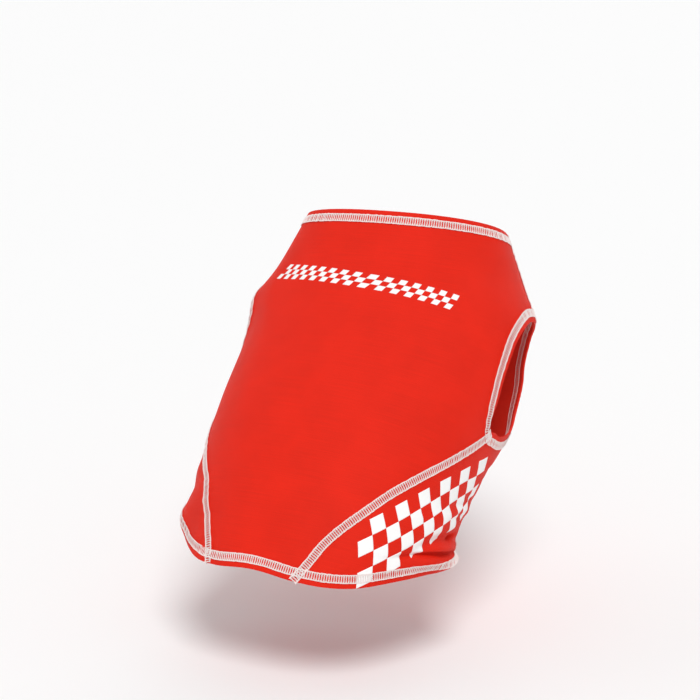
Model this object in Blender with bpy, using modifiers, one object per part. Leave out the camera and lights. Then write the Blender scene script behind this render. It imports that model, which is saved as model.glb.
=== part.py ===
"""Dog rash guard: a sleeveless stretch top for a small dog, in the form it has when worn.

The wearer faces +Y and its right side is +X. The origin is at the withers, on the inner face of
the back panel, where the wearer's back holds the garment up. The cloth follows a tube of leaning
rings. A point on it has a place, its distance in metres along the middle of the back from the
tail, and an angle in degrees round the ring, from the middle of the back towards the right.
"""
import math
from collections import namedtuple

import bmesh
import bpy
import numpy as np

OBJECT_NAME = "dog_rash_guard"

# Cloth. An edge that runs nearly round the body is set back as if it crossed its row at no less
# than the least crossing, a sine, which keeps the corners of the armholes sharp.
CLOTH = 0.0012
HEM_CLOTH = 0.0022
HEM_WIDTH = 0.013
SEAM_GAP = 0.0006
LEAST_CROSSING = 0.4
RED = (0.82, 0.032, 0.012, 1.0)
CLOTH_ROUGHNESS = 0.7

# Grid of each panel: rows along the seam, the armhole and the shoulder, and columns across
SEAM_ROWS = 18
ARMHOLE_ROWS = 20
SHOULDER_ROWS = 5
BACK_COLUMNS = 30
BELLY_COLUMNS = 42

# Form: y and z of each ring's top, its depth down to the belly, how far it leans forward from
# upright in degrees, its half width, and how far it is shifted and turned to the right
Ring = namedtuple("Ring", "name y z depth lean half_width shift turn")
RINGS = (
    Ring("tail", 0.000, 0.000, 0.160, 60, 0.089, -0.003, 0.0),
    Ring("rump", 0.020, 0.039, 0.167, 59, 0.101, 0.000, 2.0),
    Ring("loin", 0.050, 0.084, 0.172, 55, 0.104, 0.000, 2.5),
    Ring("ribs", 0.085, 0.122, 0.177, 51, 0.109, 0.001, 3.5),
    Ring("chest", 0.119, 0.153, 0.177, 51, 0.112, 0.002, 5.0),
    Ring("shoulder", 0.156, 0.186, 0.166, 56, 0.111, 0.000, 8.0),
    Ring("neck_base", 0.176, 0.204, 0.140, 65, 0.0955, -0.0050, 11.0),
    Ring("neck", 0.196, 0.233, 0.112, 74, 0.0753, -0.0077, 13.0),
)
SQUARENESS = 2.2
WITHERS_PLACE = 0.245
GIRTH_RADIUS = 0.100

# Lower hem and neck edge: their place at angles round the right and the left side
Hem = namedtuple("Hem", "angle right left")
HEM = (
    Hem(-20, 0.002, 0.002),
    Hem(0, 0.004, 0.004),
    Hem(20, 0.002, 0.002),
    Hem(35, 0.003, 0.005),
    Hem(50, 0.008, 0.015),
    Hem(68, 0.020, 0.037),
    Hem(86, 0.033, 0.054),
    Hem(105, 0.049, 0.063),
    Hem(130, 0.071, 0.072),
    Hem(155, 0.088, 0.088),
    Hem(180, 0.094, 0.094),
    Hem(205, 0.088, 0.088),
)
NECK_PLACE = 0.307
NECK_DROP = 0.012

# Side edges of the back panel: the run from hem (0) to neck (1), the angle on the right and on
# the left, and how many degrees lower the belly panel starts, which opens the armhole
Edge = namedtuple("Edge", "run right left opening")
FLANK_SEAM = (
    Edge(0.00, 20.0, 24.0, 0.0),
    Edge(0.05, 23.0, 27.0, 0.0),
    Edge(0.10, 25.5, 31.0, 0.0),
    Edge(0.15, 30.5, 36.0, 0.0),
    Edge(0.20, 38.0, 41.0, 0.0),
    Edge(0.25, 46.5, 52.0, 0.0),
    Edge(0.30, 57.0, 66.0, 0.0),
    Edge(0.35, 67.0, 76.0, 0.0),
    Edge(0.40, 75.0, 82.5, 0.0),
    Edge(0.45, 82.0, 87.0, 0.0),
    Edge(0.487, 86.0, 90.0, 0.0),
)
ARMHOLE = (
    Edge(0.487, 86.0, 90.0, 0.0),
    Edge(0.495, 84.5, 89.0, 13.0),
    Edge(0.530, 81.0, 86.5, 29.0),
    Edge(0.580, 78.0, 81.0, 40.0),
    Edge(0.640, 75.0, 73.0, 49.0),
    Edge(0.700, 72.3, 67.5, 54.5),
    Edge(0.740, 72.0, 70.0, 55.5),
    Edge(0.775, 75.5, 76.5, 48.0),
    Edge(0.803, 83.5, 86.0, 31.0),
    Edge(0.818, 97.0, 97.0, 0.0),
)
SHOULDER_SEAM = (
    Edge(0.818, 97.0, 97.0, 0.0),
    Edge(0.858, 99.0, 99.0, 0.0),
    Edge(0.925, 101.5, 101.5, 0.0),
    Edge(1.000, 104.0, 104.0, 0.0),
)

# Largest folds: the middle's place and angle, half length, half width, height (a trough is
# negative), and bearing in degrees, where 0 runs round the body and 90 along it
Fold = namedtuple("Fold", "name place angle length width height bearing")
FOLDS = (
    Fold("right_flank_pocket", 0.060, 84, 0.034, 0.0070, -0.0044, 34),
    Fold("right_flank_roll", 0.083, 86, 0.026, 0.0085, 0.0025, 26),
    Fold("right_hem_flare", 0.053, 106, 0.030, 0.0100, 0.0055, 20),
    Fold("left_hem_flare", 0.036, -64, 0.024, 0.0150, 0.0048, 4),
    Fold("belly_crease", 0.128, 176, 0.055, 0.0090, -0.0045, 3),
    Fold("belly_roll", 0.149, 183, 0.050, 0.0100, 0.0030, -4),
    Fold("chest_crease", 0.170, 178, 0.040, 0.0090, -0.0030, -2),
    Fold("right_armpit_drag", 0.150, 118, 0.034, 0.0090, -0.0022, 52),
    Fold("left_armpit_drag", 0.148, -116, 0.030, 0.0090, -0.0025, -48),
    Fold("right_shoulder_cap", 0.254, 92, 0.012, 0.0100, 0.0012, 0),
    Fold("left_shoulder_cap", 0.236, -70, 0.034, 0.0175, 0.0049, 0),
    Fold("right_armhole_tuck", 0.177, 86, 0.008, 0.0120, -0.0050, 0),
    Fold("right_shoulder_drag", 0.222, 50, 0.036, 0.0120, 0.0010, 62),
    Fold("left_shoulder_drag", 0.232, -46, 0.040, 0.0120, 0.0012, -66),
)


def smooth(x, knots, values):
    """Values at x on a smooth curve through the knots."""
    slopes = np.gradient(values, knots, axis=0)
    start = np.clip(np.searchsorted(knots, x) - 1, 0, len(knots) - 2)
    step = knots[start + 1] - knots[start]
    t = (x - knots[start]) / step
    if values.ndim > 1:
        t = t[..., None]
        step = step[..., None]
    ease = t * t * (3 - 2 * t)
    leave = t * (1 - t) ** 2 * step
    arrive = t * t * (t - 1) * step
    bend = leave * slopes[start] + arrive * slopes[start + 1]
    return values[start] * (1 - ease) + values[start + 1] * ease + bend


def columns(table, *names):
    """Named columns of a table, as an array with one row for each entry."""
    return np.array([[getattr(row, name) for name in names] for row in table], dtype=float)


RING_SIZES = columns(RINGS, "y", "z", "depth", "lean", "half_width", "shift", "turn")
RING_STEPS = np.hypot(np.diff(RING_SIZES[:, 0]), np.diff(RING_SIZES[:, 1]))
RING_PLACES = np.concatenate(([0.0], np.cumsum(RING_STEPS)))
HEM_ANGLES = columns(HEM, "angle")[:, 0]
HEM_PLACES = columns(HEM, "right", "left")


def squared(value):
    """A circle's sine or cosine, filled out towards a rounded square."""
    return np.sign(value) * np.abs(value) ** (2 / SQUARENESS)


def ring_points(place, angle):
    """Points of the plain form, before its folds."""
    sizes = np.moveaxis(smooth(place, RING_PLACES, RING_SIZES), -1, 0)
    y, z, depth, lean, half_width, shift, turn = sizes
    lean = np.radians(lean)
    turn = np.radians(turn)
    turned = np.radians(angle)
    side = half_width * squared(np.sin(turned))
    from_middle = -depth / 2 * squared(np.cos(turned))
    forward = from_middle * np.sin(lean)
    middle_y = y + depth / 2 * np.sin(lean)
    middle_z = z - depth / 2 * np.cos(lean)
    return np.stack([
        shift + side * np.cos(turn) - forward * np.sin(turn),
        middle_y + side * np.sin(turn) + forward * np.cos(turn),
        middle_z - from_middle * np.cos(lean),
    ], axis=-1)


def outward(place, angle):
    """Unit normals of the plain form."""
    along = ring_points(place + 0.0005, angle) - ring_points(place - 0.0005, angle)
    round_body = ring_points(place, angle + 0.25) - ring_points(place, angle - 0.25)
    normal = np.cross(round_body, along)
    return normal / np.linalg.norm(normal, axis=-1, keepdims=True)


def fold_height(place, angle):
    """Height of the folds above the plain form."""
    height = np.zeros_like(place)
    for fold in FOLDS:
        round_body = (angle - fold.angle + 180) % 360 - 180
        round_body = np.radians(round_body) * GIRTH_RADIUS
        along = place - fold.place
        bearing = math.radians(fold.bearing)
        lengthwise = round_body * math.cos(bearing) + along * math.sin(bearing)
        across = along * math.cos(bearing) - round_body * math.sin(bearing)
        fade = (lengthwise / fold.length) ** 2 + (across / fold.width) ** 2
        height += fold.height * np.exp(-fade)
    return height


def surface(place, angle):
    """Points of the cloth's outer face, measured from the tail."""
    height = fold_height(place, angle)[..., None]
    return ring_points(place, angle) + height * outward(place, angle)


def withers():
    """The point on the back panel's inner face where the wearer's back holds it."""
    place = np.array([WITHERS_PLACE])
    angle = np.zeros(1)
    return (surface(place, angle) - CLOTH * outward(place, angle))[0]


def place_on_run(run, angle):
    """Place of a point that lies a run (0 to 1) of the way from the lower hem to the neck."""
    signed = (angle + 180) % 360 - 180
    hem = smooth(np.abs(signed), HEM_ANGLES, HEM_PLACES)
    hem = np.where(signed >= 0, hem[..., 0], hem[..., 1])
    neck = NECK_PLACE - NECK_DROP * (1 - np.cos(np.radians(angle))) / 2
    return hem + run * (neck - hem)


def edge_rows():
    """Run, right angle, left angle and armhole opening of each row, from hem to neck."""
    rows = []
    parts = ((FLANK_SEAM, SEAM_ROWS), (ARMHOLE, ARMHOLE_ROWS), (SHOULDER_SEAM, SHOULDER_ROWS))
    for table, count in parts:
        knots = np.arange(len(table), dtype=float)
        steps = np.linspace(0, knots[-1], count + 1)
        rows.append(smooth(steps, knots, columns(table, "run", "right", "left", "opening")))
    return np.concatenate([rows[0], rows[1][1:], rows[2][1:]])


def back_panel_angles(rows):
    """First and last angle of each row of the back panel, left to right."""
    return -rows[:, 2], rows[:, 1]


def belly_panel_angles(rows):
    """First and last angle of each row of the belly panel, right to left below the body."""
    return rows[:, 1] + rows[:, 3], 360 - rows[:, 2] - rows[:, 3]


def seam_inset(run, angle):
    """Degrees that set an edge back by half the seam's gap, measured square to the seam."""
    edge = surface(place_on_run(run, angle), angle)
    along = np.gradient(edge, axis=0)
    along /= np.linalg.norm(along, axis=1, keepdims=True)
    ahead = surface(place_on_run(run, angle + 0.5), angle + 0.5)
    behind = surface(place_on_run(run, angle - 0.5), angle - 0.5)
    degree = ahead - behind
    across = degree - np.sum(degree * along, axis=1, keepdims=True) * along
    full = np.linalg.norm(degree, axis=1)
    return SEAM_GAP / 2 / np.maximum(np.linalg.norm(across, axis=1), LEAST_CROSSING * full)


def edge_distance(points, border):
    """Distance from each point to the nearest point of a border."""
    gaps = points[:, None, :] - border[None, :, :]
    return np.linalg.norm(gaps, axis=-1).min(axis=1)


def cloth_material():
    """Red stretch jersey."""
    material = bpy.data.materials.new("red_jersey")
    material.use_nodes = True
    shader = material.node_tree.nodes["Principled BSDF"]
    shader.inputs["Base Color"].default_value = RED
    shader.inputs["Roughness"].default_value = CLOTH_ROUGHNESS
    shader.inputs["Metallic"].default_value = 0.0
    return material


def panel(name, column_count, angle_span, collection):
    """One cut panel: a grid laid on the form, made thick inwards and doubled at its hems."""
    rows = edge_rows()
    first, last = angle_span(rows)
    first = first + seam_inset(rows[:, 0], first)
    last = last - seam_inset(rows[:, 0], last)
    mesh = bpy.data.meshes.new(name)
    grid = bmesh.new()
    bmesh.ops.create_grid(grid, x_segments=column_count, y_segments=len(rows) - 1, size=0.5)
    across = np.array([vert.co.x + 0.5 for vert in grid.verts])
    row = np.array([round((vert.co.y + 0.5) * (len(rows) - 1)) for vert in grid.verts])
    angle = first[row] + across * (last[row] - first[row])
    place = place_on_run(rows[row, 0], angle)
    points = surface(place, angle) - withers()
    for vert, point in zip(grid.verts, points):
        vert.co = point
    grid.to_mesh(mesh)
    grid.free()

    on_side = (across < 0.001) | (across > 0.999)
    on_armhole = on_side & (row >= SEAM_ROWS) & (row <= SEAM_ROWS + ARMHOLE_ROWS)
    hemmed = on_armhole | (row == 0) | (row == len(rows) - 1)
    in_hem = edge_distance(points, points[hemmed]) < HEM_WIDTH

    panel_object = bpy.data.objects.new(name, mesh)
    collection.objects.link(panel_object)
    hem_group = panel_object.vertex_groups.new(name="hem")
    hem_group.add([int(i) for i in np.flatnonzero(in_hem)], 1.0, "REPLACE")
    cloth = panel_object.modifiers.new("cloth", "SOLIDIFY")
    cloth.thickness = HEM_CLOTH
    cloth.vertex_group = "hem"
    cloth.thickness_vertex_group = CLOTH / HEM_CLOTH
    cloth.offset = -1.0
    mesh.materials.append(cloth_material())
    mesh.shade_smooth()
    return panel_object


for old_object in list(bpy.data.objects):
    bpy.data.objects.remove(old_object)

garment = bpy.data.collections.new(OBJECT_NAME)
bpy.context.scene.collection.children.link(garment)
panel("back_panel", BACK_COLUMNS, back_panel_angles, garment)
panel("belly_panel", BELLY_COLUMNS, belly_panel_angles, garment)
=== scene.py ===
"""Looks of the dog rash guard: cloth, seams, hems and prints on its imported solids."""

import math
from collections import namedtuple

import bmesh
import bpy
import numpy as np
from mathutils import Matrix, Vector
from mathutils.kdtree import KDTree


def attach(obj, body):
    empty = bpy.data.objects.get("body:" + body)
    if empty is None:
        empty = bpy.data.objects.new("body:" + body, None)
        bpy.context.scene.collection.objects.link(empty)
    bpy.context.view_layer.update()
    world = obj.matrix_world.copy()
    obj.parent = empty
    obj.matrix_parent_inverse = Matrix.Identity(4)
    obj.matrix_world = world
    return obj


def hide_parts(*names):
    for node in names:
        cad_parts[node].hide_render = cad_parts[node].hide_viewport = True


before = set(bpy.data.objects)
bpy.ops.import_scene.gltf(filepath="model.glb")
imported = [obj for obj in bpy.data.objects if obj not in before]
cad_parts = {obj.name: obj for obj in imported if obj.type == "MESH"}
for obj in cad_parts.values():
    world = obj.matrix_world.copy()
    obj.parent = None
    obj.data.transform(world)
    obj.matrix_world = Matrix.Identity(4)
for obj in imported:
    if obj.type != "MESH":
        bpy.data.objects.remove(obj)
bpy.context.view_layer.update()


# Back panel: one cut of red stretch jersey, from the neck to the tail and over both shoulders.
# It is stretched over a tube of leaning rings, and lies smooth but for a few drag lines. Its
# free edges are turned in once, and a flat seam presses it up a little along its sides.
Ring = namedtuple("Ring", "name y z depth lean half_width shift turn")
RINGS = (
    Ring("tail", 0.000, 0.000, 0.160, 60, 0.089, -0.003, 0.0),
    Ring("rump", 0.020, 0.039, 0.167, 59, 0.101, 0.000, 2.0),
    Ring("loin", 0.050, 0.084, 0.172, 55, 0.104, 0.000, 2.5),
    Ring("ribs", 0.085, 0.122, 0.177, 51, 0.109, 0.001, 3.5),
    Ring("chest", 0.119, 0.153, 0.177, 51, 0.112, 0.002, 5.0),
    Ring("shoulder", 0.156, 0.186, 0.166, 56, 0.111, 0.000, 8.0),
    Ring("neck_base", 0.176, 0.204, 0.140, 65, 0.0955, -0.0050, 11.0),
    Ring("neck", 0.196, 0.233, 0.112, 74, 0.0753, -0.0077, 13.0),
)
SQUARENESS = 2.2
WITHERS_PLACE = 0.245
GIRTH_RADIUS = 0.100
SOLID_CLOTH = 0.0012
PLACE_STEP = 0.0005
ANGLE_STEP = 0.25

Hem = namedtuple("Hem", "angle right left")
HEM = (
    Hem(-20, 0.002, 0.002),
    Hem(0, 0.004, 0.004),
    Hem(20, 0.002, 0.002),
    Hem(35, 0.003, 0.005),
    Hem(50, 0.008, 0.015),
    Hem(68, 0.020, 0.037),
    Hem(86, 0.033, 0.054),
    Hem(105, 0.049, 0.063),
    Hem(130, 0.071, 0.072),
    Hem(155, 0.088, 0.088),
    Hem(180, 0.094, 0.094),
    Hem(205, 0.088, 0.088),
)
NECK_PLACE = 0.307
NECK_DROP = 0.012

Edge = namedtuple("Edge", "run right left opening")
FLANK_SEAM = (
    Edge(0.00, 20.0, 24.0, 0.0),
    Edge(0.05, 23.0, 27.0, 0.0),
    Edge(0.10, 25.5, 31.0, 0.0),
    Edge(0.15, 30.5, 36.0, 0.0),
    Edge(0.20, 38.0, 41.0, 0.0),
    Edge(0.25, 46.5, 52.0, 0.0),
    Edge(0.30, 57.0, 66.0, 0.0),
    Edge(0.35, 67.0, 76.0, 0.0),
    Edge(0.40, 75.0, 82.5, 0.0),
    Edge(0.45, 82.0, 87.0, 0.0),
    Edge(0.487, 86.0, 90.0, 0.0),
)
ARMHOLE = (
    Edge(0.487, 86.0, 90.0, 0.0),
    Edge(0.495, 84.5, 89.0, 13.0),
    Edge(0.530, 81.0, 86.5, 29.0),
    Edge(0.580, 78.0, 81.0, 40.0),
    Edge(0.640, 75.0, 73.0, 49.0),
    Edge(0.700, 72.3, 67.5, 54.5),
    Edge(0.740, 72.0, 70.0, 55.5),
    Edge(0.775, 75.5, 76.5, 48.0),
    Edge(0.803, 83.5, 86.0, 31.0),
    Edge(0.818, 97.0, 97.0, 0.0),
)
SHOULDER_SEAM = (
    Edge(0.818, 97.0, 97.0, 0.0),
    Edge(0.858, 99.0, 99.0, 0.0),
    Edge(0.925, 101.5, 101.5, 0.0),
    Edge(1.000, 104.0, 104.0, 0.0),
)

# Folds: the large ones of the solids first, and then the fine ones that only the cloth shows
Fold = namedtuple("Fold", "name place angle length width height bearing")
FOLDS = (
    Fold("right_flank_pocket", 0.060, 84, 0.034, 0.0070, -0.0044, 34),
    Fold("right_flank_roll", 0.083, 86, 0.026, 0.0085, 0.0025, 26),
    Fold("right_hem_flare", 0.053, 106, 0.030, 0.0100, 0.0055, 20),
    Fold("left_hem_flare", 0.036, -64, 0.024, 0.0150, 0.0048, 4),
    Fold("belly_crease", 0.128, 176, 0.055, 0.0090, -0.0045, 3),
    Fold("belly_roll", 0.149, 183, 0.050, 0.0100, 0.0030, -4),
    Fold("chest_crease", 0.170, 178, 0.040, 0.0090, -0.0030, -2),
    Fold("right_armpit_drag", 0.150, 118, 0.034, 0.0090, -0.0022, 52),
    Fold("left_armpit_drag", 0.148, -116, 0.030, 0.0090, -0.0025, -48),
    Fold("right_shoulder_cap", 0.254, 92, 0.012, 0.0100, 0.0012, 0),
    Fold("left_shoulder_cap", 0.236, -70, 0.034, 0.0175, 0.0049, 0),
    Fold("right_armhole_tuck", 0.177, 86, 0.008, 0.0120, -0.0050, 0),
    Fold("right_shoulder_drag", 0.222, 50, 0.036, 0.0120, 0.0010, 62),
    Fold("left_shoulder_drag", 0.232, -46, 0.040, 0.0120, 0.0012, -66),
)
FINE_FOLDS = (
    Fold("right_ripple_top", 0.098, 92, 0.017, 0.0032, -0.0013, 24),
    Fold("right_ripple_second", 0.089, 96, 0.019, 0.0030, -0.0016, 27),
    Fold("right_ripple_third", 0.0755, 92, 0.018, 0.0034, 0.0013, 26),
    Fold("right_ripple_low", 0.070, 104, 0.016, 0.0030, -0.0018, 20),
    Fold("right_pocket_lip", 0.0562, 88, 0.024, 0.0034, 0.0038, 20),
    Fold("right_pocket_tail", 0.040, 66, 0.020, 0.0036, -0.0009, 30),
    Fold("right_pocket_pit", 0.0710, 99, 0.0075, 0.0024, -0.0068, 30),
    Fold("right_pocket_crease", 0.0508, 87, 0.036, 0.0020, -0.0052, 17),
    Fold("right_hem_roll", 0.0445, 89, 0.026, 0.0034, 0.0018, 19),
    Fold("right_mid_pinch", 0.072, 66, 0.012, 0.0028, 0.0007, 18),
    Fold("right_side_ripple", 0.112, 104, 0.020, 0.0040, -0.0012, 14),
    Fold("right_side_roll", 0.104, 116, 0.024, 0.0048, 0.0013, 8),
    Fold("left_flank_crease", 0.064, -62, 0.026, 0.0060, -0.0010, 0),
    Fold("left_flank_roll", 0.079, -66, 0.028, 0.0085, 0.0006, 3),
    Fold("left_seam_ripple_top", 0.070, -50, 0.020, 0.0034, -0.0006, -5),
    Fold("left_seam_ripple", 0.050, -44, 0.018, 0.0038, 0.0006, -2),
    Fold("left_seam_ripple_low", 0.039, -34, 0.022, 0.0036, -0.0006, 3),
    Fold("left_tail_ripple", 0.012, -33, 0.014, 0.0030, -0.0008, 0),
    Fold("left_tail_roll", 0.022, -40, 0.020, 0.0040, 0.0008, 6),
    Fold("left_edge_notch", 0.061, -74, 0.012, 0.0028, -0.0010, -12),
    Fold("left_side_ripple", 0.093, -82, 0.024, 0.0040, -0.0013, -10),
    Fold("left_side_roll", 0.103, -96, 0.026, 0.0050, 0.0014, -14),
    Fold("left_low_ripple", 0.070, -104, 0.022, 0.0038, -0.0014, -18),
    Fold("belly_ripple_low", 0.113, 190, 0.034, 0.0042, 0.0016, -6),
    Fold("belly_ripple_mid", 0.139, 166, 0.030, 0.0044, -0.0014, 8),
    Fold("belly_ripple_high", 0.160, 192, 0.032, 0.0040, -0.0013, -5),
    Fold("breast_drag_right", 0.214, 152, 0.030, 0.0060, 0.0012, 58),
    Fold("breast_drag_left", 0.210, -150, 0.034, 0.0060, 0.0011, -60),
    Fold("throat_ripple", 0.262, 178, 0.030, 0.0046, -0.0013, 2),
    Fold("throat_roll", 0.276, 170, 0.026, 0.0046, 0.0010, -5),
    Fold("right_armpit_ripple", 0.142, 106, 0.018, 0.0036, -0.0012, 40),
    Fold("left_armpit_ripple", 0.140, -108, 0.016, 0.0036, -0.0012, -36),
    Fold("right_armhole_drag", 0.196, 60, 0.026, 0.0070, -0.0006, 80),
    Fold("left_armhole_drag", 0.205, -58, 0.030, 0.0080, -0.0007, -84),
    Fold("tail_sag", 0.024, 2, 0.022, 0.0070, -0.0008, 4),
    Fold("back_drag_right", 0.118, 38, 0.048, 0.0100, -0.0004, 66),
    Fold("back_drag_left", 0.130, -30, 0.052, 0.0110, 0.0004, -72),
)

EDGE_BAND = 0.0105
EDGE_RISE = 0.00035
SEAM_BAND = 0.0034
SEAM_RISE = 0.00030
STEP_WIDTH = 0.0016
HEM_STITCH_INSET = 0.0071
LINE_STEPS = 300
ROUND_LINE_STEPS = 1200
TREE_PITCH = 0.0006

# Puckers: one wave that drifts to and fro, and comes and goes, as seams are never even
Wave = namedtuple("Wave", "length share start")
PUCKER_HEIGHT = 0.00022
PUCKER_REACH = 0.0075
PUCKER_LENGTH = 0.0068
PUCKER_DRIFT = 1.3
PUCKER_BEATS = (Wave(0.0049, 1.0, 0.0), Wave(0.0131, 0.6, 1.7))
PUCKER_SWELL = Wave(0.0083, 0.45, 0.9)


def smooth(x, knots, values):
    """Values at x on a smooth curve through the knots."""
    slopes = np.gradient(values, knots, axis=0)
    start = np.clip(np.searchsorted(knots, x) - 1, 0, len(knots) - 2)
    step = knots[start + 1] - knots[start]
    t = (x - knots[start]) / step
    if values.ndim > 1:
        t = t[..., None]
        step = step[..., None]
    ease = t * t * (3 - 2 * t)
    leave = t * (1 - t) ** 2 * step
    arrive = t * t * (t - 1) * step
    bend = leave * slopes[start] + arrive * slopes[start + 1]
    return values[start] * (1 - ease) + values[start + 1] * ease + bend


def columns(table, *names):
    """Named columns of a table, as an array with one row for each entry."""
    return np.array([[getattr(row, name) for name in names] for row in table], dtype=float)


RING_SIZES = columns(RINGS, "y", "z", "depth", "lean", "half_width", "shift", "turn")
RING_STEPS = np.hypot(np.diff(RING_SIZES[:, 0]), np.diff(RING_SIZES[:, 1]))
RING_PLACES = np.concatenate(([0.0], np.cumsum(RING_STEPS)))
HEM_ANGLES = columns(HEM, "angle")[:, 0]
HEM_PLACES = columns(HEM, "right", "left")


def squared(value):
    """A circle's sine or cosine, filled out towards a rounded square."""
    return np.sign(value) * np.abs(value) ** (2 / SQUARENESS)


def ring_points(place, angle):
    """Points of the plain form, before its folds."""
    sizes = np.moveaxis(smooth(place, RING_PLACES, RING_SIZES), -1, 0)
    y, z, depth, lean, half_width, shift, turn = sizes
    lean = np.radians(lean)
    turn = np.radians(turn)
    turned = np.radians(angle)
    side = half_width * squared(np.sin(turned))
    from_middle = -depth / 2 * squared(np.cos(turned))
    forward = from_middle * np.sin(lean)
    middle_y = y + depth / 2 * np.sin(lean)
    middle_z = z - depth / 2 * np.cos(lean)
    return np.stack([
        shift + side * np.cos(turn) - forward * np.sin(turn),
        middle_y + side * np.sin(turn) + forward * np.cos(turn),
        middle_z - from_middle * np.cos(lean),
    ], axis=-1)


def square_to(form, place, angle):
    """Unit normals of a form."""
    along = form(place + PLACE_STEP, angle) - form(place - PLACE_STEP, angle)
    round_body = form(place, angle + ANGLE_STEP) - form(place, angle - ANGLE_STEP)
    normal = np.cross(round_body, along)
    return normal / np.linalg.norm(normal, axis=-1, keepdims=True)


def fold_height(place, angle, folds):
    """Height of the folds above the plain form."""
    height = np.zeros_like(place)
    for fold in folds:
        round_body = (angle - fold.angle + 180) % 360 - 180
        round_body = np.radians(round_body) * GIRTH_RADIUS
        along = place - fold.place
        bearing = math.radians(fold.bearing)
        lengthwise = round_body * math.cos(bearing) + along * math.sin(bearing)
        across = along * math.cos(bearing) - round_body * math.sin(bearing)
        fade = (lengthwise / fold.length) ** 2 + (across / fold.width) ** 2
        height += fold.height * np.exp(-fade)
    return height


def withers():
    """The point inside the back panel that is the part's origin."""
    place = np.array([WITHERS_PLACE])
    angle = np.zeros(1)
    lift = fold_height(place, angle, FOLDS)[:, None] - SOLID_CLOTH
    return (ring_points(place, angle) + lift * square_to(ring_points, place, angle))[0]


ORIGIN = withers()


def folded(place, angle):
    """Points of the cloth's outer face with all its folds, before its seams and hems."""
    height = fold_height(place, angle, FOLDS + FINE_FOLDS)[..., None]
    return ring_points(place, angle) + height * square_to(ring_points, place, angle) - ORIGIN


def place_on_run(run, angle):
    """Place of a point that lies a run (0 to 1) of the way from the lower hem to the neck."""
    signed = (angle + 180) % 360 - 180
    hem = smooth(np.abs(signed), HEM_ANGLES, HEM_PLACES)
    hem = np.where(signed >= 0, hem[..., 0], hem[..., 1])
    neck = NECK_PLACE - NECK_DROP * (1 - np.cos(np.radians(angle))) / 2
    return hem + run * (neck - hem)


def edge_steps(table, count):
    """Run, right angle, left angle and opening at even steps along one stretch of edge."""
    knots = np.arange(len(table), dtype=float)
    steps = np.linspace(0, knots[-1], count)
    return smooth(steps, knots, columns(table, "run", "right", "left", "opening")).T


def even_line(place, angle, pitch):
    """The same line with its points a pitch apart along the cloth."""
    points = folded(place, angle)
    lengths = np.linalg.norm(np.diff(points, axis=0), axis=1)
    along = np.concatenate(([0.0], np.cumsum(lengths)))
    steps = np.linspace(0, along[-1], max(2, round(along[-1] / pitch) + 1))
    return np.interp(steps, along, place), np.interp(steps, along, angle)


def seam_line(table, side):
    """Place and angle along a seam; side is 1 on the right and -1 on the left."""
    run, right, left, _ = edge_steps(table, LINE_STEPS)
    angle = right if side > 0 else -left
    return place_on_run(run, angle), angle


def armhole_line(side):
    """Place and angle all round an armhole, over the top and back below."""
    run, right, left, opening = edge_steps(ARMHOLE, LINE_STEPS)
    upper = right if side > 0 else -left
    lower = upper + side * opening
    angle = np.concatenate([upper, lower[-2::-1]])
    return place_on_run(np.concatenate([run, run[-2::-1]]), angle), angle


def ring_line(run):
    """Place and angle all round the lower hem (0) or the neck (1)."""
    angle = np.linspace(-180, 180, ROUND_LINE_STEPS)
    return place_on_run(np.full_like(angle, run), angle), angle


SEAMS = {
    "flank_right": seam_line(FLANK_SEAM, 1),
    "flank_left": seam_line(FLANK_SEAM, -1),
    "shoulder_right": seam_line(SHOULDER_SEAM, 1),
    "shoulder_left": seam_line(SHOULDER_SEAM, -1),
}
EDGES = {
    "lower_hem": ring_line(0.0),
    "neck": ring_line(1.0),
    "armhole_right": armhole_line(1),
    "armhole_left": armhole_line(-1),
}


def tree_of(lines):
    """Nearest-point tree of lines, and how far along its line each of its points lies."""
    points = []
    along = []
    for place, angle in lines.values():
        line = folded(*even_line(place, angle, TREE_PITCH))
        steps = np.linalg.norm(np.diff(line, axis=0), axis=1)
        points.append(line)
        along.append(np.concatenate(([0.0], np.cumsum(steps))))
    points = np.concatenate(points)
    tree = KDTree(len(points))
    for index, point in enumerate(points):
        tree.insert(point, index)
    tree.balance()
    return tree, np.concatenate(along)


SEAM_TREE = tree_of(SEAMS)
EDGE_TREE = tree_of(EDGES)


def nearest(points, tree):
    """Distance from each point to the nearest line, and how far along it that is."""
    found = [tree[0].find(point)[1:] for point in points.reshape(-1, 3)]
    index = np.array([entry[0] for entry in found])
    distance = np.array([entry[1] for entry in found])
    return distance.reshape(points.shape[:-1]), tree[1][index].reshape(points.shape[:-1])


def ease(value):
    """A smooth step from 0 to 1."""
    value = np.clip(value, 0.0, 1.0)
    return value * value * (3 - 2 * value)


def puckers(along, distance):
    """Small uneven ripples that a tight seam draws in the cloth beside it."""
    beat = sum(wave.share * np.sin(along / wave.length + wave.start) for wave in PUCKER_BEATS)
    ripple = np.sin(2 * np.pi * along / PUCKER_LENGTH + PUCKER_DRIFT * beat)
    swell = PUCKER_SWELL.share * np.sin(along / PUCKER_SWELL.length + PUCKER_SWELL.start)
    strength = 1 - PUCKER_SWELL.share + swell
    return PUCKER_HEIGHT * ripple * strength * np.exp(-(distance / PUCKER_REACH) ** 2)


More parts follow.
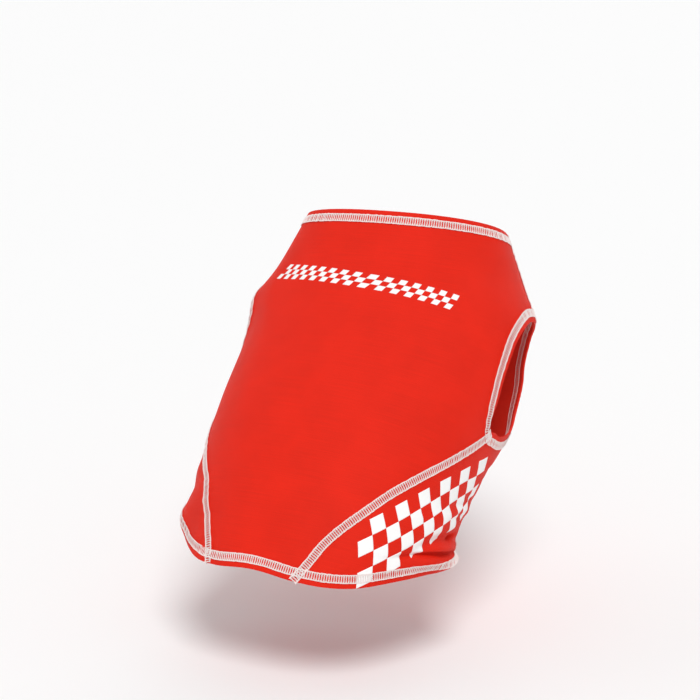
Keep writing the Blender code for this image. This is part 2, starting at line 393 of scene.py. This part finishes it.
def cloth(place, angle):
    """Points of the finished cloth's outer face, with its raised seams and turned hems."""
    points = folded(place, angle)
    seam_distance, seam_along = nearest(points, SEAM_TREE)
    edge_distance, edge_along = nearest(points, EDGE_TREE)
    rise = SEAM_RISE * ease((SEAM_BAND + STEP_WIDTH / 2 - seam_distance) / STEP_WIDTH)
    rise += EDGE_RISE * ease((EDGE_BAND + STEP_WIDTH / 2 - edge_distance) / STEP_WIDTH)
    rise += puckers(seam_along, seam_distance)
    rise += puckers(edge_along, np.abs(edge_distance - HEM_STITCH_INSET))
    return points + rise[..., None] * square_to(ring_points, place, angle)


def panel_rows(seam_rows, armhole_rows, shoulder_rows):
    """Run, right angle, left angle and opening of each row of a panel, from hem to neck."""
    flank = edge_steps(FLANK_SEAM, seam_rows + 1)
    armhole = edge_steps(ARMHOLE, armhole_rows + 1)
    shoulder = edge_steps(SHOULDER_SEAM, shoulder_rows + 1)
    return np.concatenate([flank, armhole[:, 1:], shoulder[:, 1:]], axis=1)


def new_piece(name, data):
    """A new object in the scene."""
    piece = bpy.data.objects.new(name, data)
    bpy.context.collection.objects.link(piece)
    return piece


def smooth_piece(name, grid):
    """A new smooth piece from a bmesh, which is freed."""
    mesh = bpy.data.meshes.new(name)
    grid.to_mesh(mesh)
    grid.free()
    mesh.shade_smooth()
    return new_piece(name, mesh)


CLOTH = 0.0008
HEM_CLOTH = 0.0016
SEAM_GAP = 0.0003
EDGE_CROWDING = 0.5
EDGE_ROUNDING = 0.0003
SHARP_ANGLE = 50
PANEL_RUN, PANEL_RIGHT, PANEL_LEFT, PANEL_OPENING = panel_rows(148, 72, 26)


def panel(name, column_count, first, last):
    """A cut panel as a fine grid, dense beside its edges, made thick inwards."""
    rows = len(PANEL_RUN)
    gap = math.degrees(SEAM_GAP / 2 / GIRTH_RADIUS)
    grid = bmesh.new()
    bmesh.ops.create_grid(grid, x_segments=column_count, y_segments=rows - 1, size=0.5)
    across = np.array([vert.co.x + 0.5 for vert in grid.verts])
    across -= EDGE_CROWDING * np.sin(2 * np.pi * across) / (2 * np.pi)
    row = np.array([round((vert.co.y + 0.5) * (rows - 1)) for vert in grid.verts])
    angle = first[row] + gap + across * (last[row] - first[row] - 2 * gap)
    place = place_on_run(PANEL_RUN[row], angle)
    points = cloth(place, angle)
    flat = grid.loops.layers.uv.new("cloth")
    for vert, point in zip(grid.verts, points):
        vert.co = point
    grid.verts.index_update()
    for face in grid.faces:
        for loop in face.loops:
            index = loop.vert.index
            loop[flat].uv = (math.radians(angle[index]) * GIRTH_RADIUS, place[index])
    piece = smooth_piece(name, grid)

    edge_distance, _ = nearest(folded(place, angle), EDGE_TREE)
    turned_in = piece.vertex_groups.new(name="turned_in")
    for index in np.flatnonzero(edge_distance < EDGE_BAND):
        turned_in.add([int(index)], 1.0, "REPLACE")
    thick = piece.modifiers.new("thick", "SOLIDIFY")
    thick.thickness = HEM_CLOTH
    thick.vertex_group = "turned_in"
    thick.thickness_vertex_group = CLOTH / HEM_CLOTH
    thick.offset = -1.0
    thick.material_offset = 1
    thick.material_offset_rim = 0
    round_edge = piece.modifiers.new("round_edge", "BEVEL")
    round_edge.width = EDGE_ROUNDING
    round_edge.segments = 2
    round_edge.limit_method = "ANGLE"
    round_edge.angle_limit = math.radians(SHARP_ANGLE)
    return piece


def new_material(name, roughness):
    """A new material, and its shader."""
    material = bpy.data.materials.new(name)
    material.use_nodes = True
    shader = material.node_tree.nodes["Principled BSDF"]
    shader.inputs["Roughness"].default_value = roughness
    return material, shader


def noise(material, scale, detail=2.0, vector=None):
    """Value of a noise at a vector, or at the place on the object."""
    nodes = material.node_tree.nodes
    if vector is None:
        vector = nodes.new("ShaderNodeTexCoord").outputs["Object"]
    made = nodes.new("ShaderNodeTexNoise")
    made.inputs["Scale"].default_value = scale
    made.inputs["Detail"].default_value = detail
    material.node_tree.links.new(vector, made.inputs["Vector"])
    return made.outputs[0]


def colour(material, shader, factor, first, second):
    """Colours the shader between two tones, by a factor from 0 to 1."""
    tone = material.node_tree.nodes.new("ShaderNodeMix")
    tone.data_type = "RGBA"
    tone.inputs["A"].default_value = (*first, 1.0)
    tone.inputs["B"].default_value = (*second, 1.0)
    material.node_tree.links.new(factor, tone.inputs["Factor"])
    material.node_tree.links.new(tone.outputs["Result"], shader.inputs["Base Color"])


def emboss(material, shader, height, strength, distance):
    """Bumps the shader by a height, at a strength and over a distance."""
    bump = material.node_tree.nodes.new("ShaderNodeBump")
    bump.inputs["Strength"].default_value = strength
    bump.inputs["Distance"].default_value = distance
    material.node_tree.links.new(height, bump.inputs["Height"])
    material.node_tree.links.new(bump.outputs["Normal"], shader.inputs["Normal"])


JERSEY_ROUGHNESS = 0.62
JERSEY_SHINE = 0.16
SHEEN_ROUGHNESS = 0.45
SHEEN_TINT = (1.0, 0.18, 0.12, 1.0)
SLUB_SCALE = 420.0
WEAR_SCALE = 34.0
WEAR_DETAIL = 3.0
YARN_SCALE = (26.0, 1300.0, 1.0)

# How much of each part is in the knit's height and tone, and the bump's strength and distance; the
# knit's part of the tone is painted shade, darker in its grooves
RIB_SHARE = 0.7
KNIT_IN_HEIGHT = 0.8
SLUB_IN_HEIGHT = 0.5
KNIT_SHADE_IN_TONE = 0.5
WEAR_IN_TONE = 0.5
YARN_IN_TONE = 0.4
KNIT_BUMP = (0.70, 0.00016)


def jersey(name, red, wale, course, groove_shade, sheen):
    """Stretch jersey: fine V-shaped loops in wales, read from the cloth's own map, with painted
    shade darkening the grooves between them.
    """
    material, shader = new_material(name, JERSEY_ROUGHNESS)
    nodes = material.node_tree.nodes
    links = material.node_tree.links

    def number(operation, first, second=0.0):
        """Result of one sum, of sockets or of plain numbers."""
        node = nodes.new("ShaderNodeMath")
        node.operation = operation
        for socket, value in zip(node.inputs, (first, second)):
            if isinstance(value, (int, float)):
                socket.default_value = value
            else:
                links.new(value, socket)
        return node.outputs[0]

    cloth_map = nodes.new("ShaderNodeUVMap")
    cloth_map.uv_map = "cloth"
    split = nodes.new("ShaderNodeSeparateXYZ")
    links.new(cloth_map.outputs["UV"], split.inputs[0])
    rib = number("ABSOLUTE", number("SINE", number("MULTIPLY", split.outputs["X"], math.pi / wale)))
    climb = number("MULTIPLY", split.outputs["Y"], 2 * math.pi / course)
    loop_wave = number("SINE", number("ADD", climb, number("MULTIPLY", rib, math.pi)))
    loops = number("MULTIPLY", loop_wave, 1 - RIB_SHARE)
    knit = number("ADD", number("MULTIPLY", rib, RIB_SHARE), loops)

    yarn_map = nodes.new("ShaderNodeMapping")
    yarn_map.inputs["Scale"].default_value = YARN_SCALE
    links.new(cloth_map.outputs["UV"], yarn_map.inputs["Vector"])
    yarn = noise(material, 1.0, vector=yarn_map.outputs["Vector"])
    slub = noise(material, SLUB_SCALE)
    wear = noise(material, WEAR_SCALE, detail=WEAR_DETAIL)

    slubs = number("MULTIPLY", slub, SLUB_IN_HEIGHT)
    height = number("ADD", number("MULTIPLY", knit, KNIT_IN_HEIGHT), slubs)
    emboss(material, shader, height, *KNIT_BUMP)
    yarns = number("MULTIPLY", yarn, YARN_IN_TONE)
    worn = number("ADD", number("MULTIPLY", wear, WEAR_IN_TONE), yarns)
    # The tone mixes painted shade, darker in the knit's grooves, with random wear and yarn tones
    tone = number("ADD", number("MULTIPLY", knit, KNIT_SHADE_IN_TONE), worn)
    # The darker end is the red times the groove factor: painted shade in the knit's grooves
    colour(material, shader, tone, [groove_shade * channel for channel in red], red)
    shader.inputs["Specular IOR Level"].default_value = JERSEY_SHINE
    shader.inputs["Sheen Weight"].default_value = sheen
    shader.inputs["Sheen Roughness"].default_value = SHEEN_ROUGHNESS
    shader.inputs["Sheen Tint"].default_value = SHEEN_TINT
    return material


# The groove factor sets how dark the painted shade in the knit's grooves is, as a share of the red
JERSEY_FACE = jersey(
    "red_jersey_face", red=(0.895, 0.0192, 0.0043),
    wale=0.00056, course=0.00046, groove_shade=0.62, sheen=0.05,
)
JERSEY_INSIDE = jersey(
    "red_jersey_inside", red=(0.82, 0.028, 0.011),
    wale=0.00056, course=0.00092, groove_shade=0.56, sheen=0.10,
)
BACK_COLUMNS = 150

back_panel = panel("back_panel_cloth", BACK_COLUMNS, -PANEL_LEFT, PANEL_RIGHT)
back_panel.data.materials.append(JERSEY_FACE)
back_panel.data.materials.append(JERSEY_INSIDE)
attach(back_panel, "root")
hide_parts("back_panel")


# Belly panel: the same jersey in one cut, the chest between the forelegs, the belly and both
# flanks, which come up beside the tail. A sitting wearer pushes it into rolls and creases.
BELLY_COLUMNS = 186

belly_panel = panel(
    "belly_panel_cloth", BELLY_COLUMNS,
    PANEL_RIGHT + PANEL_OPENING, 360 - PANEL_LEFT - PANEL_OPENING,
)
belly_panel.data.materials.append(JERSEY_FACE)
belly_panel.data.materials.append(JERSEY_INSIDE)
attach(belly_panel, "root")
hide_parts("belly_panel")


# Flat seams: the panels meet edge to edge, and white thread covers the join on both faces.
# Each stitch has rows of needle loops at both sides and looper threads crossing between them.
SEAM_PITCH = 0.0018
THREAD_RADIUS = 0.00020
THREAD_SIDES = 5
STITCH_LIFT = 0.00010
STITCH_UNEVENNESS = 0.05
THREAD_ROUGHNESS = 0.55
THREAD_SHEEN = 0.2
THREAD_TONES = ((0.88, 0.73, 0.70), (0.98, 0.90, 0.88))
THREAD_NAP = 2600.0
THREAD_BUMP = (0.4, 0.00008)
Run = namedtuple("Run", "name points")
FACE_STITCH = (
    Run("outer_needle", (
        (-1.0, -3.06, 0.10), (-0.5, -3.09, 0.33), (0.4, -3.05, 0.35), (1.0, -3.06, 0.08),
    )),
    Run("inner_needle", (
        (-0.5, -2.52, 0.08), (0.2, -2.50, 0.34), (0.9, -2.54, 0.32), (1.4, -2.52, 0.08),
    )),
    Run("far_inner_needle", (
        (-0.7, 2.52, 0.08), (0.0, 2.54, 0.34), (0.8, 2.50, 0.32), (1.2, 2.52, 0.08),
    )),
    Run("far_outer_needle", (
        (-1.0, 3.06, 0.10), (-0.4, 3.05, 0.33), (0.5, 3.09, 0.35), (1.0, 3.06, 0.08),
    )),
    Run("looper", (
        (-0.55, -3.0, 0.26), (-0.38, -1.5, 0.30), (-0.14, 0.0, 0.26), (-0.38, 1.5, 0.30),
        (-0.10, 3.0, 0.26),
    )),
    Run("looper_twin", (
        (0.10, -3.0, 0.26), (0.34, -1.5, 0.32), (0.20, 0.0, 0.30), (0.34, 1.5, 0.32),
        (0.55, 3.0, 0.26),
    )),
    Run("near_loop", ((-0.35, -3.0, 0.22), (-0.02, -1.3, 0.24), (0.60, -3.0, 0.22))),
    Run("far_loop", ((-0.60, 3.0, 0.22), (0.02, 1.3, 0.24), (0.35, 3.0, 0.22))),
)
INNER_STITCH = (
    Run("needle", (
        (-1.0, -2.7, 0.05), (-0.3, -2.7, 0.30), (0.5, -2.7, 0.30), (1.0, -2.7, 0.05),
    )),
    Run("far_needle", (
        (-1.0, 2.7, 0.05), (-0.3, 2.7, 0.30), (0.5, 2.7, 0.30), (1.0, 2.7, 0.05),
    )),
    Run("looper", (
        (-0.8, -2.7, 0.24), (-0.1, -0.9, 0.26), (0.1, 0.9, 0.26), (0.9, 2.7, 0.24),
    )),
)


def stitch(name, runs):
    """One stitch as open curves: x along the seam, y across it, z outwards, from millimetres."""
    curve = bpy.data.curves.new(name, "CURVE")
    curve.dimensions = "3D"
    for run in runs:
        spline = curve.splines.new("POLY")
        spline.points.add(len(run.points) - 1)
        for target, (x, y, z) in zip(spline.points, run.points):
            target.co = (x / 1000, y / 1000, z / 1000, 1.0)
    return new_piece(name, curve)


def stitching_tree():
    """Geometry Nodes that lay one stitch on each point, turned to the seam and the cloth."""
    tree = bpy.data.node_groups.new("laid_stitches", "GeometryNodeTree")
    sockets = (
        ("Geometry", "NodeSocketGeometry"),
        ("Stitch", "NodeSocketObject"),
        ("Thread radius", "NodeSocketFloat"),
        ("Unevenness", "NodeSocketFloat"),
        ("Seed", "NodeSocketInt"),
        ("Thread", "NodeSocketMaterial"),
    )
    for socket_name, socket_type in sockets:
        tree.interface.new_socket(socket_name, in_out="INPUT", socket_type=socket_type)
    tree.interface.new_socket("Geometry", in_out="OUTPUT", socket_type="NodeSocketGeometry")
    nodes = tree.nodes
    links = tree.links
    given = nodes.new("NodeGroupInput").outputs
    result = nodes.new("NodeGroupOutput")

    source = nodes.new("GeometryNodeObjectInfo")
    links.new(given["Stitch"], source.inputs["Object"])
    section = nodes.new("GeometryNodeCurvePrimitiveCircle")
    section.inputs["Resolution"].default_value = THREAD_SIDES
    links.new(given["Thread radius"], section.inputs["Radius"])
    thread = nodes.new("GeometryNodeCurveToMesh")
    links.new(source.outputs["Geometry"], thread.inputs["Curve"])
    links.new(section.outputs["Curve"], thread.inputs["Profile Curve"])
    thread.inputs["Fill Caps"].default_value = True

    directions = []
    for name in ("outward", "along"):
        attribute = nodes.new("GeometryNodeInputNamedAttribute")
        attribute.data_type = "FLOAT_VECTOR"
        attribute.inputs["Name"].default_value = name
        directions.append(attribute.outputs["Attribute"])
    facing = nodes.new("FunctionNodeAxesToRotation")
    facing.primary_axis = "Z"
    facing.secondary_axis = "X"
    links.new(directions[0], facing.inputs["Primary Axis"])
    links.new(directions[1], facing.inputs["Secondary Axis"])

    size = nodes.new("FunctionNodeRandomValue")
    for operation, socket in (("SUBTRACT", size.inputs[2]), ("ADD", size.inputs[3])):
        limit = nodes.new("ShaderNodeMath")
        limit.operation = operation
        limit.inputs[0].default_value = 1.0
        links.new(given["Unevenness"], limit.inputs[1])
        links.new(limit.outputs[0], socket)
    links.new(given["Seed"], size.inputs["Seed"])

    lay = nodes.new("GeometryNodeInstanceOnPoints")
    links.new(given["Geometry"], lay.inputs["Points"])
    links.new(thread.outputs["Mesh"], lay.inputs["Instance"])
    links.new(facing.outputs["Rotation"], lay.inputs["Rotation"])
    links.new(size.outputs[1], lay.inputs["Scale"])
    real = nodes.new("GeometryNodeRealizeInstances")
    links.new(lay.outputs["Instances"], real.inputs["Geometry"])
    rounded = nodes.new("GeometryNodeSetShadeSmooth")
    links.new(real.outputs["Geometry"], rounded.inputs["Geometry"])
    coloured = nodes.new("GeometryNodeSetMaterial")
    links.new(rounded.outputs["Geometry"], coloured.inputs["Geometry"])
    links.new(given["Thread"], coloured.inputs["Material"])
    links.new(coloured.outputs["Geometry"], result.inputs[0])
    return tree


def white_thread():
    """Matt white polyester thread with a faint nap."""
    material, shader = new_material("white_thread", THREAD_ROUGHNESS)
    nap = noise(material, THREAD_NAP)
    colour(material, shader, nap, *THREAD_TONES)
    emboss(material, shader, nap, *THREAD_BUMP)
    shader.inputs["Sheen Weight"].default_value = THREAD_SHEEN
    return material


def lay_stitches(name, place, angle, unit, depth, seed):
    """Stitches along a line as one mesh, on the cloth's face or at a depth, on its inside."""
    place, angle = even_line(place, angle, SEAM_PITCH)
    centre = (place[:-1] + place[1:]) / 2, (angle[:-1] + angle[1:]) / 2
    normal = square_to(folded, *centre)
    ahead = np.diff(folded(place, angle), axis=0)
    side = -1.0 if depth else 1.0
    points = cloth(*centre) - normal * depth + normal * side * STITCH_LIFT
    mesh = bpy.data.meshes.new(name + "_points")
    mesh.from_pydata([tuple(point) for point in points], [], [])
    for label, vectors in (("outward", normal * side), ("along", ahead)):
        attribute = mesh.attributes.new(label, "FLOAT_VECTOR", "POINT")
        attribute.data.foreach_set("vector", vectors.astype(np.float32).ravel())
    carrier = new_piece(name + "_points", mesh)
    nodes = carrier.modifiers.new("stitches", "NODES")
    nodes.node_group = STITCHING
    settings = {
        "Stitch": unit,
        "Thread radius": THREAD_RADIUS,
        "Unevenness": STITCH_UNEVENNESS,
        "Seed": seed,
        "Thread": WHITE_THREAD,
    }
    for item in STITCHING.interface.items_tree:
        if item.in_out == "INPUT" and item.name in settings:
            nodes[item.identifier] = settings[item.name]
    bpy.context.view_layer.update()
    evaluated = carrier.evaluated_get(bpy.context.evaluated_depsgraph_get())
    made = new_piece(name, bpy.data.meshes.new_from_object(evaluated))
    bpy.data.objects.remove(carrier)
    return made


STITCHING = stitching_tree()
WHITE_THREAD = white_thread()
face_stitch = stitch("face_stitch", FACE_STITCH)
inner_stitch = stitch("inner_stitch", INNER_STITCH)

seam_threads = []
for seed, (seam, (place, angle)) in enumerate(SEAMS.items()):
    seam_threads += [
        lay_stitches(seam + "_stitches", place, angle, face_stitch, 0.0, seed),
        lay_stitches(seam + "_inner_stitches", place, angle, inner_stitch, CLOTH, 20 + seed),
    ]
for threads in seam_threads:
    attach(threads, "root")


# Hems: the lower edge, the neck and both armholes are turned in once, and the same white cover
# stitching runs round them, a few millimetres in from the fold.
HEM_LINE_PITCH = 0.0012
HEM_DIRECTION = {"lower_hem": 1.0, "neck": -1.0, "armhole_right": 1.0, "armhole_left": -1.0}


def inset(place, angle, distance):
    """The same closed line, moved a distance into the cloth, to the left of its direction."""
    points = folded(place, angle)
    ahead = np.roll(points, -2, axis=0) - np.roll(points, 2, axis=0)
    ahead /= np.linalg.norm(ahead, axis=1, keepdims=True) + 1e-12
    inward = np.cross(square_to(ring_points, place, angle), ahead) * distance
    along = folded(place + PLACE_STEP, angle) - folded(place - PLACE_STEP, angle)
    along /= 2 * PLACE_STEP
    round_body = folded(place, angle + ANGLE_STEP) - folded(place, angle - ANGLE_STEP)
    round_body /= 2 * ANGLE_STEP
    a = np.sum(along * along, axis=1)
    b = np.sum(along * round_body, axis=1)
    c = np.sum(round_body * round_body, axis=1)
    first = np.sum(along * inward, axis=1)
    second = np.sum(round_body * inward, axis=1)
    whole = a * c - b * b
    return place + (c * first - b * second) / whole, angle + (a * second - b * first) / whole


hem_threads = []
for number, (edge, (place, angle)) in enumerate(EDGES.items()):
    place, angle = even_line(place, angle, HEM_LINE_PITCH)
    distance = HEM_STITCH_INSET * HEM_DIRECTION[edge]
    stitched = inset(place[:-1], angle[:-1], distance)
    closed = [np.append(values, values[0]) for values in stitched]
    if edge in ("lower_hem", "neck"):  # these lines end a whole turn on
        closed[1][-1] += 360
    hem_threads += [
        lay_stitches(edge + "_stitches", *closed, face_stitch, 0.0, 40 + number),
        lay_stitches(edge + "_inner_stitches", *closed, inner_stitch, HEM_CLOTH, 60 + number),
    ]
for threads in hem_threads:
    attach(threads, "root")
for unit in (face_stitch, inner_stitch):
    bpy.data.objects.remove(unit)


# Prints: white heat-set film on the cloth. A narrow band of slanted check crosses the upper
# back, and a bold one runs below the right flank's seam, down to the hem.
FILM_RISE = 0.00020
FILM_THICKNESS = 0.00025
FILM_CELL = 0.0008
FILM_ROUGHNESS = 0.42
FILM_TONES = ((0.93, 0.92, 0.91), (0.99, 0.985, 0.98))
FILM_GRAIN = 1500.0
FILM_BUMP = (0.25, 0.00006)


def film(name, patches):
    """Film patches on the cloth; each one gives corner places and angles, row by row."""
    sheet = bmesh.new()
    for corners in patches:
        corners = np.array(corners, dtype=float)
        size = corners * (1.0, math.radians(1) * GIRTH_RADIUS)
        wide = max(2, round(np.linalg.norm(size[1] - size[0]) / FILM_CELL))
        tall = max(2, round(np.linalg.norm(size[3] - size[0]) / FILM_CELL))
        made = bmesh.ops.create_grid(sheet, x_segments=wide, y_segments=tall, size=0.5)["verts"]
        u = np.array([vert.co.x + 0.5 for vert in made])[:, None]
        v = np.array([vert.co.y + 0.5 for vert in made])[:, None]
        low = corners[0] * (1 - u) + corners[1] * u
        high = corners[3] * (1 - u) + corners[2] * u
        place, angle = (low * (1 - v) + high * v).T
        points = cloth(place, angle) + FILM_RISE * square_to(folded, place, angle)
        for vert, point in zip(made, points):
            vert.co = point
    piece = smooth_piece(name, sheet)
    thick = piece.modifiers.new("thick", "SOLIDIFY")
    thick.thickness = FILM_THICKNESS
    thick.offset = -1.0
    return piece


def print_film():
    """White print film, a little glossier than the cloth, with the knit showing through."""
    material, shader = new_material("white_film", FILM_ROUGHNESS)
    grain = noise(material, FILM_GRAIN)
    colour(material, shader, grain, *FILM_TONES)
    emboss(material, shader, grain, *FILM_BUMP)
    return material


WHITE_FILM = print_film()
Span = namedtuple("Span", "top_place top_angle low_place low_angle")
BACK_CELLS = (29, 3)
BACK_CHECK = (
    Span(0.2605, -45.0, 0.2480, -48.0),
    Span(0.2575, -24.0, 0.2450, -27.0),
    Span(0.2530, 0.0, 0.2405, -3.0),
    Span(0.2470, 36.0, 0.2345, 33.0),
)
FLANK_CELLS = (12, 4)
FLANK_CHECK = (
    Span(0.0510, 35.5, 0.0085, 51.0),
    Span(0.0830, 56.5, 0.0420, 73.0),
    Span(0.1220, 79.5, 0.0800, 96.5),
    Span(0.1480, 93.0, 0.1060, 110.5),
)


def check(spans, column_count, row_count):
    """Every second cell of a slanted check between two lines, as corner places and angles."""
    lines = columns(spans, "top_place", "top_angle", "low_place", "low_angle")
    lengths = np.hypot(np.diff(lines[:, 0]), np.radians(np.diff(lines[:, 1])) * GIRTH_RADIUS)
    knots = np.concatenate(([0.0], np.cumsum(lengths)))
    steps = np.linspace(0, knots[-1], column_count + 1)
    top_place, top_angle, low_place, low_angle = smooth(steps, knots, lines).T
    low = np.stack([low_place, low_angle], axis=1)
    top = np.stack([top_place, top_angle], axis=1)
    lines = [low + (top - low) * share for share in np.linspace(0, 1, row_count + 1)]
    cells = []
    for row in range(row_count):
        for column in range(row % 2, column_count, 2):
            cells.append((
                lines[row][column],
                lines[row][column + 1],
                lines[row + 1][column + 1],
                lines[row + 1][column],
            ))
    return cells


back_print = film("back_print", check(BACK_CHECK, *BACK_CELLS))
flank_print = film("flank_print", check(FLANK_CHECK, *FLANK_CELLS))
for piece, side in ((back_print, "red_jersey_back"), (flank_print, "red_jersey_belly")):
    piece.data.materials.append(WHITE_FILM)
    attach(piece, "root")


# Studio: a plain pale floor below the garment, soft light from above and behind the camera, and
# a camera that looks from behind, a little above and from the right.
FLOOR_HEIGHT = -0.275
FLOOR_SIZE = 60.0
PAPER_TONE = (0.93, 0.93, 0.93, 1.0)
PAPER_ROUGHNESS = 0.9
ROOM_LIGHT = 0.45
BACKDROP_TONE = 0.96
CAMERA_AZIMUTH = 30.0
CAMERA_ELEVATION = 18.0
CAMERA_DISTANCE = 1.9
CAMERA_AIM = (-0.0135, -0.0673, -0.0850)
CAMERA_LENS = 130.3
CAMERA_SHIFT = (0.0580, 0.0877)

floor_grid = bmesh.new()
bmesh.ops.create_grid(floor_grid, x_segments=1, y_segments=1, size=FLOOR_SIZE / 2)
for vert in floor_grid.verts:
    vert.co.z = FLOOR_HEIGHT
floor = smooth_piece("floor", floor_grid)
paper, paper_shader = new_material("pale_paper", PAPER_ROUGHNESS)
paper_shader.inputs["Base Color"].default_value = PAPER_TONE
floor.data.materials.append(paper)

world = bpy.data.worlds.new("studio")
world.use_nodes = True
world_nodes = world.node_tree.nodes
world_links = world.node_tree.links
room_light = world_nodes["Background"]
room_light.inputs["Color"].default_value = (1.0, 1.0, 1.0, 1.0)
room_light.inputs["Strength"].default_value = ROOM_LIGHT
backdrop = world_nodes.new("ShaderNodeBackground")
backdrop.inputs["Color"].default_value = (1.0, 1.0, 1.0, 1.0)
backdrop.inputs["Strength"].default_value = BACKDROP_TONE
seen_or_lighting = world_nodes.new("ShaderNodeMixShader")
light_path = world_nodes.new("ShaderNodeLightPath")
world_links.new(light_path.outputs["Is Camera Ray"], seen_or_lighting.inputs["Fac"])
world_links.new(room_light.outputs["Background"], seen_or_lighting.inputs[1])
world_links.new(backdrop.outputs["Background"], seen_or_lighting.inputs[2])
world_links.new(seen_or_lighting.outputs["Shader"], world_nodes["World Output"].inputs["Surface"])
bpy.context.scene.world = world

Sun = namedtuple("Sun", "name towards strength softness")
SUNS = (
    Sun("key", (0.45, -0.60, 1.10), 1.80, 25),
    Sun("side", (-1.00, -0.30, 0.45), 0.35, 50),
    Sun("front", (-0.30, 1.00, 0.55), 0.55, 50),
)
for sun in SUNS:
    light = bpy.data.lights.new(sun.name, "SUN")
    light.energy = sun.strength
    light.angle = math.radians(sun.softness)
    holder = new_piece(sun.name, light)
    holder.rotation_euler = (-Vector(sun.towards)).to_track_quat("-Z", "Y").to_euler()

azimuth = math.radians(CAMERA_AZIMUTH)
elevation = math.radians(CAMERA_ELEVATION)
sight = Vector((
    -math.sin(azimuth) * math.cos(elevation),
    math.cos(azimuth) * math.cos(elevation),
    -math.sin(elevation),
))
lens = bpy.data.cameras.new("camera")
lens.lens = CAMERA_LENS
lens.shift_x, lens.shift_y = CAMERA_SHIFT
camera = new_piece("camera", lens)
camera.location = Vector(CAMERA_AIM) - sight * CAMERA_DISTANCE
camera.rotation_euler = sight.to_track_quat("-Z", "Y").to_euler()
bpy.context.scene.camera = camera
bpy.context.scene.view_settings.view_transform = "Standard"
